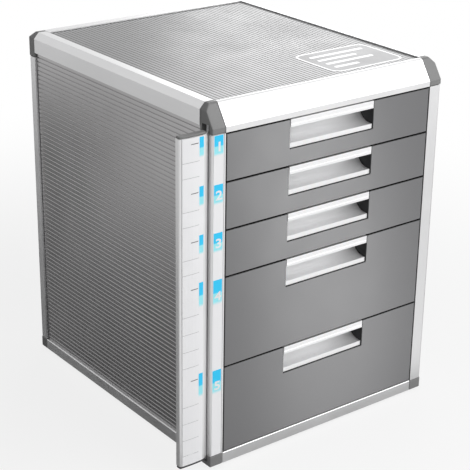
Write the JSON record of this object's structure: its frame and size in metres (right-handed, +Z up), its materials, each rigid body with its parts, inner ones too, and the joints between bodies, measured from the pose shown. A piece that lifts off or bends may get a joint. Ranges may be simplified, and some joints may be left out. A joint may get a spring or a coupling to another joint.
{
  "type": "desktop file drawer",
  "caption": "Desktop cabinet of stacked paper drawers in an extruded metal frame, with scooped finger pulls, ribbed panels and a hinged index flap at the left front corner.",
  "frame": {"origin": "middle of the footprint with the index flap open, at the height of the desk", "axes": "+Z up, +Y towards the back, +X to the right; the drawers open towards -Y"},
  "size_m": [0.337, 0.345, 0.3925],
  "materials": {
    "satin_aluminium": "satin anodised",
    "bright_aluminium": "satin anodised, light",
    "top_sheet": "satin, ribbed",
    "side_sheet": "satin, ribbed on the sides",
    "front_plastic": "fine matt",
    "corner_plastic": "matt",
    "dark_plastic": "matt",
    "dark_steel": "blackened",
    "card": "smooth, printed",
    "rubber": "matt"
  },
  "bodies": {
    "cabinet": {"back_panel": "side_sheet", "base_corner_back_left": "corner_plastic", "base_corner_back_right": "corner_plastic", "base_corner_front_left": "corner_plastic", "base_corner_front_right": "corner_plastic", "base_rail_back": "satin_aluminium", "base_rail_front": "satin_aluminium", "base_rail_left": "satin_aluminium", "base_rail_right": "satin_aluminium", "floor_panel": "side_sheet", "foot_1": "rubber", "foot_2": "rubber", "foot_3": "rubber", "foot_4": "rubber", "hinge_pin_lower": "dark_steel", "hinge_pin_upper": "dark_steel", "label_strip": "card", "post_back_left": "satin_aluminium", "post_back_right": "satin_aluminium", "post_front_left": "satin_aluminium", "post_front_right": "satin_aluminium", "runner_frame_left": "dark_plastic", "runner_frame_right": "dark_plastic", "side_panel_left": "side_sheet", "side_panel_right": "side_sheet", "top_corner_back_left": "corner_plastic", "top_corner_back_right": "corner_plastic", "top_corner_front_left": "corner_plastic", "top_corner_front_right": "corner_plastic", "top_panel": "top_sheet", "top_rail_back": "satin_aluminium", "top_rail_front": "satin_aluminium", "top_rail_left": "satin_aluminium", "top_rail_right": "satin_aluminium"},
    "drawer_1": {"drawer_1_front": "front_plastic", "drawer_1_handle": "bright_aluminium", "drawer_1_tray": "dark_plastic"},
    "drawer_2": {"drawer_2_front": "front_plastic", "drawer_2_handle": "bright_aluminium", "drawer_2_tray": "dark_plastic"},
    "drawer_3": {"drawer_3_front": "front_plastic", "drawer_3_handle": "bright_aluminium", "drawer_3_tray": "dark_plastic"},
    "drawer_4": {"drawer_4_front": "front_plastic", "drawer_4_handle": "bright_aluminium", "drawer_4_tray": "dark_plastic"},
    "drawer_5": {"drawer_5_front": "front_plastic", "drawer_5_handle": "bright_aluminium", "drawer_5_tray": "dark_plastic"},
    "index_flap_body": {"index_flap": "satin_aluminium", "index_card": "card", "flap_cap_lower": "corner_plastic", "flap_cap_upper": "corner_plastic"}
  },
  "joints": [
    {"name": "drawer_1_slide", "type": "slide", "parent": "cabinet", "child": "drawer_1", "axis": [0, -1, 0], "range_m": [0, 0.24]},
    {"name": "drawer_2_slide", "type": "slide", "parent": "cabinet", "child": "drawer_2", "axis": [0, -1, 0], "range_m": [0, 0.24]},
    {"name": "drawer_3_slide", "type": "slide", "parent": "cabinet", "child": "drawer_3", "axis": [0, -1, 0], "range_m": [0, 0.24]},
    {"name": "drawer_4_slide", "type": "slide", "parent": "cabinet", "child": "drawer_4", "axis": [0, -1, 0], "range_m": [0, 0.24]},
    {"name": "drawer_5_slide", "type": "slide", "parent": "cabinet", "child": "drawer_5", "axis": [0, -1, 0], "range_m": [0, 0.24]},
    {"name": "index_flap_hinge", "type": "hinge", "parent": "cabinet", "child": "index_flap_body", "pos_m": [-0.1285, -0.1615, 0.19], "axis": [0, 0, 1], "range_deg": [-90, 0]}
  ]
}
